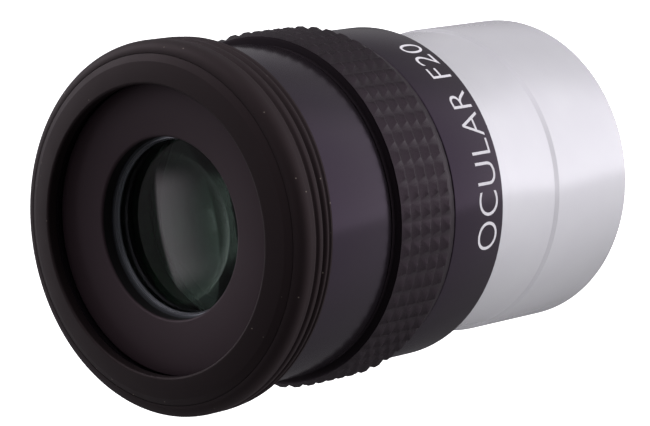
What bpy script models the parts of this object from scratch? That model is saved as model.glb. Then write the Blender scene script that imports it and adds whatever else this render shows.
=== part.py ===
"""A 20 mm telescope eyepiece with a 1.25-inch barrel, one named object for each piece.

Metres, +Z up. The eyepiece stands on the open rim of its barrel: the optical axis is Z, the origin is the
centre of that rim, and the eye end with its rubber eyecup is at the top. Every piece is turned about Z.
"""

import math

import bpy

# Gap left wherever two pieces seat on, screw into or slide over each other.
GAP = 0.0003
# Points round each turned piece, and along each lens surface from the axis to the edge.
STEPS = 48
LENS_STEPS = 32
LENS_RINGS = 4
# Points along each rounded corner.
CORNER_POINTS = 3
# Edges that turn more sharply than this are shaded as corners.
SHARP_ANGLE = math.radians(32)

# Barrel, the standard 31.7 mm tube that slides into a telescope.
BARREL_R = 0.01585
BARREL_WALL = 0.00185
BARREL_LENGTH = 0.0221
BARREL_MOUTH_CHAMFER = 0.0004
BARREL_LIP = 0.0025
UNDERCUT_DEPTH = 0.0004
UNDERCUT_LENGTH = 0.0081
UNDERCUT_CHAMFER = 0.0010
SHOULDER_INSET = 0.0010
SPIGOT_WALL = 0.0009
SPIGOT_LENGTH = 0.0050

# Housing, the black outer body from the collar to the eye end. Its steps are measured from the barrel outwards.
COLLAR_STEP = 0.00105
COLLAR_LENGTH = 0.0077
BODY_STEP = 0.0003
HOUSING_LENGTH = 0.0315
EDGE_BREAK = 0.0002
GRIP_SEAT_DEPTH = 0.0007
GRIP_SEAT_LENGTH = 0.0094
NECK_LENGTH = 0.0028
NECK_DEPTH = 0.0015
NECK_FLANGE_STEP = 0.0008
NECK_FLANGE = 0.0008

# Rubber grip ring in its seat on the housing.
GRIP_PROUD = 0.00115
GRIP_EDGE = 0.0004

# Lens cell, the inner tube whose wide flange is the recessed face round the eye lens.
CELL_FLANGE_STEP = 0.0003
CELL_FLANGE = 0.0018
CELL_RECESS = 0.0009
CELL_FRONT_LAND = 0.0070
CELL_REAR_LAND = 0.0045
CELL_WALL = 0.0009
CELL_TAIL_CLEAR = 0.0005
APERTURE_LIP = 0.00035
APERTURE_LENGTH = 0.0014
APERTURE_CHAMFER = 0.0003

# The two cemented pairs of lenses, alike and facing each other, with their crowns inside.
LENS_R = 0.0092
OUTER_SURFACE_R = 0.060
CEMENTED_SURFACE_R = 0.020
INNER_SURFACE_R = 0.024
FLINT_CENTRE = 0.0015
CROWN_EDGE = 0.00143
CROWN_GAP = 0.0006

# Rings that hold the lenses, and the field stop in the tail of the cell.
SEAT_RING_LEDGE = 0.0009
SEAT_RING = 0.0005
SPACER_WALL = 0.0007
THREAD_STEP = 0.0007
RETAINER_LEDGE = 0.0012
RETAINER = 0.0028
STOP_SHOULDER = 0.0007
STOP_LEDGE = 0.0018
STOP = 0.0016
STOP_EDGE = 0.0003
SLOT_WIDTH = 0.0012
SLOT_DEPTH = 0.0008

# Rubber eyecup, folded down: a base round the neck, a skirt, and the ribbed rim that is pulled up.
SKIRT_WALL = 0.0013
LIP_OVERHANG = 0.0002
LIP_CREST_INSET = 0.0004
LIP_THICKNESS = 0.0011
LIP_SLOPE = 0.0005
SKIRT_SHOULDER = 0.0018
SKIRT_LENGTH = 0.0027
RIM_LENGTH = 0.0022
RIM_RIBS = 2
RIB_DEPTH = 0.0003

# Radii that follow from the sizes above.
BARREL_BORE_R = BARREL_R - BARREL_WALL
SPIGOT_R = BARREL_BORE_R + SPIGOT_WALL
COLLAR_R = BARREL_R + COLLAR_STEP
HOUSING_R = COLLAR_R - BODY_STEP
HOUSING_BORE_R = BARREL_BORE_R
GRIP_SEAT_R = HOUSING_R - GRIP_SEAT_DEPTH
NECK_R = HOUSING_R - NECK_DEPTH
NECK_FLANGE_R = HOUSING_R - NECK_FLANGE_STEP
CELL_FLANGE_R = HOUSING_BORE_R + CELL_FLANGE_STEP
CELL_LAND_R = HOUSING_BORE_R - GAP
APERTURE_R = LENS_R - APERTURE_LIP
THREAD_BORE_R = LENS_R + THREAD_STEP
STOP_RIM_R = THREAD_BORE_R + STOP_SHOULDER
CELL_TUBE_R = STOP_RIM_R + GAP + CELL_WALL
EYECUP_BORE_R = HOUSING_R + GAP
EYECUP_R = EYECUP_BORE_R + SKIRT_WALL
LIP_BORE_R = CELL_FLANGE_R - LIP_OVERHANG
LIP_CREST_R = HOUSING_R - LIP_CREST_INSET

# Heights that follow from the sizes above.
UNDERCUT_TOP = BARREL_LENGTH - BARREL_LIP
UNDERCUT_BOTTOM = UNDERCUT_TOP - UNDERCUT_LENGTH
COLLAR_TOP = BARREL_LENGTH + COLLAR_LENGTH
GRIP_SEAT_TOP = COLLAR_TOP + GRIP_SEAT_LENGTH
HOUSING_TOP = BARREL_LENGTH + HOUSING_LENGTH
NECK_BOTTOM = HOUSING_TOP - NECK_LENGTH
CELL_TOP = HOUSING_TOP - CELL_RECESS
CELL_SEAT = CELL_TOP - CELL_FLANGE - GAP
CELL_BOTTOM = BARREL_LENGTH + CELL_TAIL_CLEAR
LIP_TOP = HOUSING_TOP + GAP + LIP_THICKNESS
LENS_SEAT = CELL_TOP - APERTURE_LENGTH - GAP


def clear_scene():
    """Remove every object of the scene that the script starts in."""
    for obj in list(bpy.data.objects):
        bpy.data.objects.remove(obj, do_unlink=True)


def new_collection(name):
    """Return a new collection, linked to the scene."""
    collection = bpy.data.collections.new(name)
    bpy.context.scene.collection.children.link(collection)
    return collection


def new_material(name, colour, roughness, metallic=0.0, transmission=0.0):
    """Return a Principled material with the given finish."""
    material = bpy.data.materials.new(name)
    material.use_nodes = True
    shader = material.node_tree.nodes["Principled BSDF"]
    shader.inputs["Base Color"].default_value = (*colour, 1.0)
    shader.inputs["Roughness"].default_value = roughness
    shader.inputs["Metallic"].default_value = metallic
    shader.inputs["Transmission Weight"].default_value = transmission
    return material


def rounded(corners):
    """Return the outline's (r, z) points, with each (r, z, radius) corner turned into an arc."""
    points = []
    for i, corner in enumerate(corners):
        r, z = corner[:2]
        radius = corner[2] if len(corner) > 2 else 0.0
        if not radius:
            points.append((r, z))
            continue
        before, after = corners[i - 1], corners[(i + 1) % len(corners)]
        back = math.atan2(before[1] - z, before[0] - r)
        ahead = math.atan2(after[1] - z, after[0] - r)
        half = (ahead - back) / 2
        reach = radius / abs(math.tan(half))
        centre_distance = radius / abs(math.sin(half))
        middle = back + half + (math.pi if math.cos(half) < 0 else 0.0)
        centre = (r + centre_distance * math.cos(middle), z + centre_distance * math.sin(middle))
        start = (r + reach * math.cos(back), z + reach * math.sin(back))
        end = (r + reach * math.cos(ahead), z + reach * math.sin(ahead))
        first = math.atan2(start[1] - centre[1], start[0] - centre[0])
        sweep = math.atan2(end[1] - centre[1], end[0] - centre[0]) - first
        sweep = (sweep + math.pi) % math.tau - math.pi
        for k in range(CORNER_POINTS + 1):
            angle = first + sweep * k / CORNER_POINTS
            points.append((centre[0] + radius * math.cos(angle), centre[1] + radius * math.sin(angle)))
    return points


def turned(name, outline, collection, material, steps=STEPS, ring=True):
    """Turn an (r, z) outline about Z and return the solid as a mesh object.

    The outline runs down the outer side. It closes on itself for a ring, and otherwise starts and ends on Z.
    """
    profile = bpy.data.meshes.new(name)
    edges = [(i, i + 1) for i in range(len(outline) - 1)]
    if ring:
        edges.append((len(outline) - 1, 0))
    profile.from_pydata([(r, 0.0, z) for r, z in outline], edges, [])
    obj = bpy.data.objects.new(name, profile)
    collection.objects.link(obj)
    screw = obj.modifiers.new("Turn", "SCREW")
    screw.axis = "Z"
    screw.angle = math.tau
    screw.steps = screw.render_steps = steps
    screw.use_merge_vertices = True
    screw.merge_threshold = 0.00001
    mesh = bpy.data.meshes.new_from_object(obj.evaluated_get(bpy.context.evaluated_depsgraph_get()))
    obj.modifiers.clear()
    obj.data = mesh
    bpy.data.meshes.remove(profile)
    mesh.name = name
    mesh.shade_smooth()
    mesh.set_sharp_from_angle(angle=SHARP_ANGLE)
    mesh.materials.clear()
    mesh.materials.append(material)
    return obj


def sag(surface_r, r):
    """Return how far a spherical lens surface has dropped at radius r."""
    return surface_r - math.sqrt(surface_r**2 - r**2)


def crown_centre():
    """Return the crowns' thickness on the axis, which leaves CROWN_EDGE at the rim."""
    return CROWN_EDGE + sag(CEMENTED_SURFACE_R, LENS_R) + sag(INNER_SURFACE_R, LENS_R)


def lens_outline(top, top_r, bottom, bottom_r):
    """Return a lens's outline between two vertices on Z. A radius is positive where the surface domes up."""
    radii = [LENS_R * i / LENS_RINGS for i in range(LENS_RINGS + 1)]
    upper = [(r, top - math.copysign(sag(abs(top_r), r), top_r)) for r in radii]
    lower = [(r, bottom - math.copysign(sag(abs(bottom_r), r), bottom_r)) for r in reversed(radii)]
    return upper + lower


def add_barrel(collection, material):
    """Chromed barrel: a thin tube with a safety undercut and a threaded spigot for the housing."""
    top = BARREL_LENGTH + SHOULDER_INSET - GAP
    undercut_r = BARREL_R - UNDERCUT_DEPTH
    outline = rounded([
        (SPIGOT_R, top + SPIGOT_LENGTH),
        (SPIGOT_R, top),
        (BARREL_R, top),
        (BARREL_R, UNDERCUT_TOP, EDGE_BREAK),
        (undercut_r, UNDERCUT_TOP),
        (undercut_r, UNDERCUT_BOTTOM + UNDERCUT_CHAMFER),
        (BARREL_R, UNDERCUT_BOTTOM),
        (BARREL_R, 0.0, BARREL_MOUTH_CHAMFER),
        (BARREL_BORE_R + BARREL_MOUTH_CHAMFER, 0.0),
        (BARREL_BORE_R, BARREL_MOUTH_CHAMFER),
        (BARREL_BORE_R, top + SPIGOT_LENGTH),
    ])
    return turned("barrel", outline, collection, material)


def add_housing(collection, material):
    """Black housing: collar, grip seat, smooth body, and a grooved neck that the eyecup snaps on."""
    socket_r = SPIGOT_R + GAP
    socket_top = BARREL_LENGTH + SHOULDER_INSET + SPIGOT_LENGTH + GAP
    outline = rounded([
        (CELL_FLANGE_R + GAP, HOUSING_TOP),
        (NECK_FLANGE_R, HOUSING_TOP),
        (NECK_FLANGE_R, HOUSING_TOP - NECK_FLANGE),
        (NECK_R, HOUSING_TOP - NECK_FLANGE),
        (NECK_R, NECK_BOTTOM),
        (HOUSING_R, NECK_BOTTOM, EDGE_BREAK),
        (HOUSING_R, GRIP_SEAT_TOP),
        (GRIP_SEAT_R, GRIP_SEAT_TOP),
        (GRIP_SEAT_R, COLLAR_TOP),
        (COLLAR_R, COLLAR_TOP, EDGE_BREAK),
        (COLLAR_R, BARREL_LENGTH, EDGE_BREAK),
        (BARREL_R + GAP, BARREL_LENGTH),
        (BARREL_R + GAP, BARREL_LENGTH + SHOULDER_INSET),
        (socket_r, BARREL_LENGTH + SHOULDER_INSET),
        (socket_r, socket_top),
        (HOUSING_BORE_R, socket_top),
        (HOUSING_BORE_R, CELL_SEAT),
        (CELL_FLANGE_R + GAP, CELL_SEAT),
    ])
    return turned("housing", outline, collection, material)


def add_grip_ring(collection, material):
    """Rubber grip ring, stretched into its seat between the collar and the smooth body."""
    bottom, top = COLLAR_TOP + GAP, GRIP_SEAT_TOP - GAP
    grip_r = HOUSING_R + GRIP_PROUD
    outline = rounded([
        (GRIP_SEAT_R + GAP, top),
        (grip_r, top, GRIP_EDGE),
        (grip_r, bottom, GRIP_EDGE),
        (GRIP_SEAT_R + GAP, bottom),
    ])
    return turned("grip_ring", outline, collection, material)


def add_lens_cell(collection, material):
    """Lens cell: a wide recessed flange with the eye aperture, and the tube that the lens stack drops into."""
    flange_bottom = CELL_TOP - CELL_FLANGE
    front_land_bottom = flange_bottom - CELL_FRONT_LAND
    rear_land_top = field_stack()["flint_bottom"] + sag(OUTER_SURFACE_R, LENS_R)
    stop_seat = CELL_BOTTOM + 2 * GAP + STOP
    outline = rounded([
        (APERTURE_R + APERTURE_CHAMFER, CELL_TOP),
        (CELL_FLANGE_R, CELL_TOP),
        (CELL_FLANGE_R, flange_bottom),
        (CELL_LAND_R, flange_bottom),
        (CELL_LAND_R, front_land_bottom),
        (CELL_TUBE_R, front_land_bottom),
        (CELL_TUBE_R, rear_land_top),
        (CELL_LAND_R, rear_land_top),
        (CELL_LAND_R, rear_land_top - CELL_REAR_LAND),
        (CELL_TUBE_R, rear_land_top - CELL_REAR_LAND),
        (CELL_TUBE_R, CELL_BOTTOM),
        (STOP_RIM_R + GAP, CELL_BOTTOM),
        (STOP_RIM_R + GAP, stop_seat),
        (THREAD_BORE_R, stop_seat),
        (THREAD_BORE_R, rear_land_top),
        (LENS_R + GAP, rear_land_top),
        (LENS_R + GAP, LENS_SEAT + GAP),
        (APERTURE_R, LENS_SEAT + GAP),
        (APERTURE_R, CELL_TOP - APERTURE_CHAMFER),
    ])
    return turned("lens_cell", outline, collection, material)


def eye_stack():
    """Return the heights of the eye pair's lens vertices, under the seat ring."""
    edge = LENS_SEAT - SEAT_RING - GAP
    flint_top = edge + sag(OUTER_SURFACE_R, APERTURE_R)
    flint_bottom = flint_top - FLINT_CENTRE
    crown_top = flint_bottom - GAP
    return {
        "flint_top": flint_top,
        "flint_bottom": flint_bottom,
        "crown_top": crown_top,
        "crown_bottom": crown_top - crown_centre(),
    }


def field_stack():
    """Return the heights of the field pair's lens vertices, a gap below the eye pair."""
    crown_top = eye_stack()["crown_bottom"] - CROWN_GAP
    crown_bottom = crown_top - crown_centre()
    flint_top = crown_bottom - GAP
    return {
        "crown_top": crown_top,
        "crown_bottom": crown_bottom,
        "flint_top": flint_top,
        "flint_bottom": flint_top - FLINT_CENTRE,
    }


def add_lenses(collection, crown_glass, flint_glass):
    """Four lenses: a flint and a crown in each pair, the flints on the outside."""
    eye, field = eye_stack(), field_stack()
    surfaces = {
        "eye_lens_flint": (eye["flint_top"], OUTER_SURFACE_R, eye["flint_bottom"], CEMENTED_SURFACE_R),
        "eye_lens_crown": (eye["crown_top"], CEMENTED_SURFACE_R, eye["crown_bottom"], -INNER_SURFACE_R),
        "field_lens_crown": (field["crown_top"], INNER_SURFACE_R, field["crown_bottom"], -CEMENTED_SURFACE_R),
        "field_lens_flint": (field["flint_top"], -CEMENTED_SURFACE_R, field["flint_bottom"], -OUTER_SURFACE_R),
    }
    for name, surface in surfaces.items():
        glass = crown_glass if name.endswith("crown") else flint_glass
        turned(name, lens_outline(*surface), collection, glass, steps=LENS_STEPS, ring=False)


def add_seat_ring(collection, material):
    """Thin pale ring between the aperture's shoulder and the eye lens."""
    bore_r = LENS_R - SEAT_RING_LEDGE
    outline = [
        (bore_r + SEAT_RING / 2, LENS_SEAT),
        (LENS_R, LENS_SEAT),
        (LENS_R, LENS_SEAT - SEAT_RING),
        (bore_r, LENS_SEAT - SEAT_RING),
    ]
    return turned("eye_lens_seat_ring", outline, collection, material, steps=LENS_STEPS)


def add_spacer(collection, material):
    """Spacer ring between the two crowns, touching them near their edges."""
    bore_r = LENS_R - SPACER_WALL
    bulge = sag(INNER_SURFACE_R, bore_r)
    top = eye_stack()["crown_bottom"] + bulge - GAP
    bottom = field_stack()["crown_top"] - bulge + GAP
    outline = [(bore_r, top), (LENS_R, top), (LENS_R, bottom), (bore_r, bottom)]
    return turned("lens_spacer_ring", outline, collection, material, steps=LENS_STEPS)


def cut_spanner_slots(ring, bottom, outer_r, cutters):
    """Cut two slots for a pin spanner across the bottom face of a threaded ring."""
    name = f"{ring.name}_slots"
    bpy.ops.mesh.primitive_cube_add(size=1.0, location=(0.0, 0.0, bottom))
    cutter = bpy.context.object
    cutter.name = name
    cutter.scale = (SLOT_WIDTH, 2 * outer_r + SLOT_WIDTH, 2 * SLOT_DEPTH)
    bpy.ops.object.transform_apply(location=False, rotation=False, scale=True)
    for owner in list(cutter.users_collection):
        owner.objects.unlink(cutter)
    cutters.objects.link(cutter)
    cutter.hide_render = True
    cutter.display_type = "WIRE"
    boolean = ring.modifiers.new("Spanner slots", "BOOLEAN")
    boolean.operation = "DIFFERENCE"
    boolean.solver = "EXACT"
    boolean.object = cutter


def add_retaining_ring(collection, cutters, material):
    """Threaded ring that clamps the lens stack from the field end."""
    outer_r = THREAD_BORE_R - GAP
    bore_r = outer_r - RETAINER_LEDGE
    top = field_stack()["flint_bottom"] + sag(OUTER_SURFACE_R, bore_r) - GAP
    bottom = top - RETAINER
    outline = [(bore_r, top), (outer_r, top), (outer_r, bottom), (bore_r, bottom)]
    ring = turned("lens_retaining_ring", outline, collection, material, steps=LENS_STEPS)
    cut_spanner_slots(ring, bottom, outer_r, cutters)


def add_field_stop(collection, cutters, material):
    """Field stop: a ring with a thin bevelled edge that bounds the view, in the tail of the cell."""
    bottom = CELL_BOTTOM + GAP
    top = bottom + STOP
    stop_r = STOP_RIM_R - STOP_LEDGE
    outline = [
        (stop_r, top),
        (STOP_RIM_R, top),
        (STOP_RIM_R, bottom),
        (stop_r + STOP - STOP_EDGE, bottom),
        (stop_r, top - STOP_EDGE),
    ]
    ring = turned("field_stop_ring", outline, collection, material, steps=LENS_STEPS)
    cut_spanner_slots(ring, bottom, STOP_RIM_R, cutters)


def add_eyecup_base(collection, material):
    """Fixed part of the eyecup: the lip over the housing's rim, and the sleeve that grips its neck."""
    inner = NECK_FLANGE_R + GAP
    bead = NECK_R + GAP
    bottom = NECK_BOTTOM + GAP
    bead_top = HOUSING_TOP - NECK_FLANGE - GAP
    outline = rounded([
        (LIP_BORE_R, LIP_TOP, LIP_SLOPE),
        (LIP_CREST_R, LIP_TOP - LIP_SLOPE),
        (HOUSING_R, LIP_TOP - LIP_SLOPE - (HOUSING_R - LIP_CREST_R)),
        (HOUSING_R, bottom),
        (bead, bottom),
        (bead, bead_top),
        (inner, bead_top),
        (inner, HOUSING_TOP + GAP),
        (LIP_BORE_R, HOUSING_TOP + GAP),
    ])
    return turned("eyecup_base", outline, collection, material)


def eyecup_heights():
    """Return the heights of the skirt's top and bottom and of the rim's top and bottom."""
    skirt_top = LIP_TOP - LIP_SLOPE
    skirt_bottom = skirt_top - SKIRT_LENGTH
    rim_top = skirt_bottom - GAP
    return skirt_top, skirt_bottom, rim_top, rim_top - RIM_LENGTH


def add_eyecup_skirt(collection, material):
    """Soft shoulder of the eyecup, folded over outwards: it rolls as the rim is pulled up."""
    top, bottom = eyecup_heights()[:2]
    outline = rounded([
        (EYECUP_BORE_R, top - GAP),
        (EYECUP_BORE_R + GAP, top - GAP),
        (EYECUP_R, top - SKIRT_SHOULDER + GAP, GRIP_EDGE),
        (EYECUP_R, bottom),
        (EYECUP_BORE_R, bottom),
    ])
    return turned("eyecup_skirt", outline, collection, material)


def add_eyecup_rim(collection, material):
    """Ribbed free edge of the eyecup, which the fingers pull up. Its origin is on its path, the Z axis."""
    top, bottom = eyecup_heights()[2:]
    pitch = RIM_LENGTH / RIM_RIBS
    outline = [(EYECUP_BORE_R, top)]
    for k in range(RIM_RIBS):
        rib_top = top - k * pitch
        outline += [
            (EYECUP_R - RIB_DEPTH, rib_top),
            (EYECUP_R, rib_top - pitch / 3),
            (EYECUP_R, rib_top - 2 * pitch / 3),
        ]
    outline += [(EYECUP_R - RIB_DEPTH, bottom), (EYECUP_BORE_R, bottom)]
    return turned("eyecup_rim", outline, collection, material)


def main():
    """Build the whole eyepiece."""
    clear_scene()
    parts = new_collection("telescope_eyepiece")
    cutters = new_collection("cutters")
    chrome = new_material("satin_chrome", (0.78, 0.78, 0.80), 0.28, metallic=1.0)
    black_metal = new_material("black_anodised_aluminium", (0.022, 0.020, 0.022), 0.38, metallic=0.4)
    cell_metal = new_material("satin_black_aluminium", (0.026, 0.024, 0.026), 0.5, metallic=0.3)
    inner_black = new_material("matte_black_aluminium", (0.012, 0.012, 0.012), 0.7)
    rubber = new_material("black_rubber", (0.028, 0.026, 0.027), 0.62)
    grip_rubber = new_material("grip_rubber", (0.032, 0.030, 0.031), 0.6)
    pale_ring = new_material("satin_aluminium", (0.45, 0.46, 0.48), 0.4, metallic=0.8)
    crown_glass = new_material("coated_crown_glass", (0.82, 0.92, 0.86), 0.02, transmission=1.0)
    flint_glass = new_material("coated_flint_glass", (0.78, 0.90, 0.84), 0.02, transmission=1.0)

    add_barrel(parts, chrome)
    add_housing(parts, black_metal)
    add_grip_ring(parts, grip_rubber)
    add_lens_cell(parts, cell_metal)
    add_seat_ring(parts, pale_ring)
    add_lenses(parts, crown_glass, flint_glass)
    add_spacer(parts, inner_black)
    add_retaining_ring(parts, cutters, inner_black)
    add_field_stop(parts, cutters, inner_black)
    add_eyecup_base(parts, rubber)
    add_eyecup_skirt(parts, rubber)
    add_eyecup_rim(parts, rubber)


main()
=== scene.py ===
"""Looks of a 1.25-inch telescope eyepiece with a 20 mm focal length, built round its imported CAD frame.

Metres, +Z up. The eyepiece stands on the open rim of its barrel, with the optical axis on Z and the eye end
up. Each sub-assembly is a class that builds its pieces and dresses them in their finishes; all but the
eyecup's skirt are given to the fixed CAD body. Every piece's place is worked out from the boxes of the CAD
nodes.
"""

import logging
import math
from collections.abc import Callable, Sequence
from dataclasses import dataclass, field
from enum import Enum
from functools import partial
from typing import Any

import bmesh
import bpy
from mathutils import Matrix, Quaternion, Vector

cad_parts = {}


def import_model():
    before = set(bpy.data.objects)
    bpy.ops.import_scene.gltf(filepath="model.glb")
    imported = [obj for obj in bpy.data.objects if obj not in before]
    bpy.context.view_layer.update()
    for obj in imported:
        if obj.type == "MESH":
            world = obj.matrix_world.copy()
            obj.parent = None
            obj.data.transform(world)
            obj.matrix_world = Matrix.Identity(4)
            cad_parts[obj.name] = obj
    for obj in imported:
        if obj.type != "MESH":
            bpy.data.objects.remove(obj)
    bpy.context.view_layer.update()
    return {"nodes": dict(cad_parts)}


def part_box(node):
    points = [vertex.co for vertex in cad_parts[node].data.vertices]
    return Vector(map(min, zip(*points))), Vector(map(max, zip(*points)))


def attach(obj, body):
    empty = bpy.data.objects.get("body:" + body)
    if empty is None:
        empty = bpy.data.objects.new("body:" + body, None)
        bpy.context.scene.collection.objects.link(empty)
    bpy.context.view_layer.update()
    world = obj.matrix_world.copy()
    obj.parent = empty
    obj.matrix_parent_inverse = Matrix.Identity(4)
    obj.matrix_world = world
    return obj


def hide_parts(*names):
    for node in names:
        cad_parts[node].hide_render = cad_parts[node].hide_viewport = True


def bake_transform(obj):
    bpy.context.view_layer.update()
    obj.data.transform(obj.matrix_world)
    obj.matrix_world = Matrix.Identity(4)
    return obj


log = logging.getLogger("eyepiece")

MM = 0.001
# Points round each turned piece, and the turn between two faces past which their edge is a corner.
ROUND_STEPS = 192
SHARP_ANGLE = math.radians(34)
# Points along each rounded corner, and the half angle past which a corner is too flat to round.
CORNER_POINTS = 4
FLAT_CORNER = math.radians(89)
# Metres within which a point counts as lying on the axis or on another point.
SAME_PLACE = 1e-7
# Numbers of a Mix node's two colour inputs and of its colour output.
MIX_A, MIX_B, MIX_RESULT = 6, 7, 2

Outline = list[tuple[float, float]]
Shape = Callable[[float, float, float], tuple[float, float]]
Colour = tuple[float, float, float, float]
Levels = tuple[tuple[float, float], ...]
Material = bpy.types.Material


class Body(str, Enum):
    """CAD bodies that pieces ride on."""

    ROOT = "root"
    RIM = "eyecup_rim"


class Slot(str, Enum):
    """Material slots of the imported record."""

    BARREL = "chromed_barrel"
    HOUSING = "black_housing"
    GRIP = "grip_rubber"
    CELL = "black_cell"
    SEAT = "seat_ring"
    GLASS = "lens_glass"
    EYECUP = "eyecup_rubber"


# Node trees and colours


def colour(code: str) -> Colour:
    """Turn an sRGB hex value into linear colour.

    Args:
        code: Six hex digits after a hash sign.

    Returns:
        Linear red, green and blue, and an alpha of 1.
    """
    shares = [int(code[i : i + 2], 16) / 255 for i in (1, 3, 5)]
    linear = [s / 12.92 if s <= 0.04045 else ((s + 0.055) / 1.055) ** 2.4 for s in shares]
    return (linear[0], linear[1], linear[2], 1.0)


def connect(node: bpy.types.Node, inputs: dict[Any, Any]) -> None:
    """Feed a node's inputs.

    Args:
        node: The node.
        inputs: For each input, by name or number, either a value or the output socket that feeds it.
    """
    for key, value in inputs.items():
        socket = node.inputs[key]
        if isinstance(value, bpy.types.NodeSocket):
            node.id_data.links.new(value, socket)
        else:
            socket.default_value = value


def add_node(
    tree: bpy.types.NodeTree,
    kind: str,
    inputs: dict[Any, Any] | None = None,
    output: int | str = 0,
    **settings: Any,
) -> Any:
    """Add a node with its settings, values and links.

    Args:
        tree: The node tree.
        kind: The node's type name.
        inputs: For each input, by name or number, either a value or the output socket that feeds it.
        output: The output to return, by name or number.
        **settings: Properties of the node itself.

    Returns:
        That output, or the node itself where it has none.
    """
    node = tree.nodes.new(kind)
    for name, value in settings.items():
        setattr(node, name, value)
    connect(node, inputs or {})
    return node.outputs[output] if node.outputs else node


@dataclass
class Paint:
    """A material under construction, with the patterns that the finishes share."""

    name: str
    material: Material = field(init=False)
    shader: bpy.types.Node = field(init=False)
    place: bpy.types.NodeSocket = field(init=False)

    def __post_init__(self) -> None:
        """Start the material with a Principled shader and the piece's own coordinates."""
        self.material = bpy.data.materials.new(self.name)
        self.material.use_nodes = True
        self.shader = self.material.node_tree.nodes["Principled BSDF"]
        self.place = self.add("TexCoord", output="Object")

    def add(self, kind: str, *feeds: Any, **settings: Any) -> Any:
        """Add a shader node to this material, given its kind's short name, and return one of its outputs."""
        return add_node(self.material.node_tree, "ShaderNode" + kind, *feeds, **settings)

    def set(self, **values: Any) -> None:
        """Feed the shader's inputs, named with underscores for spaces."""
        connect(self.shader, {name.replace("_", " "): value for name, value in values.items()})

    def axis_distance(self) -> bpy.types.NodeSocket:
        """Return the distance from the optical axis."""
        flat = self.add("VectorMath", {0: self.place, 1: (1.0, 1.0, 0.0)}, operation="MULTIPLY")
        return self.add("VectorMath", {0: flat}, "Value", operation="LENGTH")

    def turning_marks(self, spacing: float) -> bpy.types.NodeSocket:
        """Return the fine rings that a lathe tool leaves.

        Args:
            spacing: Distance between neighbouring rings in metres.

        Returns:
            Noise from 0 to 1 that is constant round the axis.
        """
        height = self.add("SeparateXYZ", {0: self.place}, "Z")
        ring = self.add("CombineXYZ", {"X": self.axis_distance(), "Y": height})
        return self.add("TexNoise", {"Vector": ring, "Scale": 1 / spacing, "Detail": 2.0})


# Finishes


@dataclass(frozen=True)
class SatinChrome:
    """Satin chrome on turned brass: bright and soft, with faint rings from the lathe under the plating."""

    base: str = "#F4F4F8"
    dull: str = "#EAE9EF"
    # A lathe's feed is about half this; the rings are drawn as coarse as they need to show.
    ring_spacing: float = 0.16 * MM
    cloud_width: float = 6 * MM
    relief: float = 0.004 * MM

    def build(self) -> Material:
        """Build the material.

        Returns:
            The finished material.
        """
        paint = Paint("satin_chrome_plating")
        rings = paint.turning_marks(self.ring_spacing)
        cloud = paint.add("TexNoise", {"Vector": paint.place, "Scale": 1 / self.cloud_width, "Detail": 2.0})
        shades = {0: cloud, MIX_A: colour(self.base), MIX_B: colour(self.dull)}
        ringed = paint.add("MapRange", {"Value": rings, "To Min": 0.0, "To Max": 0.04})
        clouded = paint.add("MapRange", {"Value": cloud, "To Min": 0.18, "To Max": 0.24})
        paint.set(
            Base_Color=paint.add("Mix", shades, MIX_RESULT, data_type="RGBA"),
            # The plating is milkier than polished chrome, so part of its light is scattered.
            Metallic=0.55,
            Roughness=paint.add("Math", {0: ringed, 1: clouded}, operation="ADD"),
            Normal=paint.add("Bump", {"Height": rings, "Distance": self.relief, "Strength": 0.35}),
        )
        return paint.material


@dataclass(frozen=True)
class BlackAnodising:
    """Black anodised aluminium, bead-blasted first: a dark, fine-grained film with a faintly purple gloss."""

    base: str = "#17141A"
    warm: str = "#1B1718"
    gloss: str = "#F2D2FF"
    # The blasting beads leave a grain about half as wide, which would be too fine to show.
    grain_width: float = 0.09 * MM
    cloud_width: float = 5 * MM
    relief: float = 0.003 * MM

    def build(self) -> Material:
        """Build the material.

        Returns:
            The finished material.
        """
        paint = Paint("black_anodised_aluminium")
        grain = paint.add("TexNoise", {"Vector": paint.place, "Scale": 1 / self.grain_width, "Detail": 2.0})
        cloud = paint.add("TexNoise", {"Vector": paint.place, "Scale": 1 / self.cloud_width, "Detail": 3.0})
        shades = {0: cloud, MIX_A: colour(self.base), MIX_B: colour(self.warm)}
        paint.set(
            Base_Color=paint.add("Mix", shades, MIX_RESULT, data_type="RGBA"),
            Roughness=paint.add("MapRange", {"Value": cloud, "To Min": 0.15, "To Max": 0.19}),
            Specular_IOR_Level=0.55,
            Specular_Tint=colour(self.gloss),
            Normal=paint.add("Bump", {"Height": grain, "Distance": self.relief, "Strength": 0.4}),
        )
        return paint.material


@dataclass(frozen=True)
class CellBlack:
    """Satin black on a faced and turned cell: the tool's rings still show through the black."""

    base: str = "#2B2124"
    warm: str = "#2F2529"
    gloss: str = "#FFE9F6"
    # About twice the real feed, so that the rings show.
    ring_spacing: float = 0.14 * MM
    cloud_width: float = 4 * MM
    relief: float = 0.005 * MM

    def build(self) -> Material:
        """Build the material.

        Returns:
            The finished material.
        """
        paint = Paint("satin_black_turned_aluminium")
        rings = paint.turning_marks(self.ring_spacing)
        cloud = paint.add("TexNoise", {"Vector": paint.place, "Scale": 1 / self.cloud_width, "Detail": 3.0})
        shades = {0: cloud, MIX_A: colour(self.base), MIX_B: colour(self.warm)}
        paint.set(
            Base_Color=paint.add("Mix", shades, MIX_RESULT, data_type="RGBA"),
            Roughness=paint.add("MapRange", {"Value": rings, "To Min": 0.46, "To Max": 0.56}),
            Specular_IOR_Level=0.4,
            Specular_Tint=colour(self.gloss),
            Normal=paint.add("Bump", {"Height": rings, "Distance": self.relief, "Strength": 0.5}),
        )
        return paint.material


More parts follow.
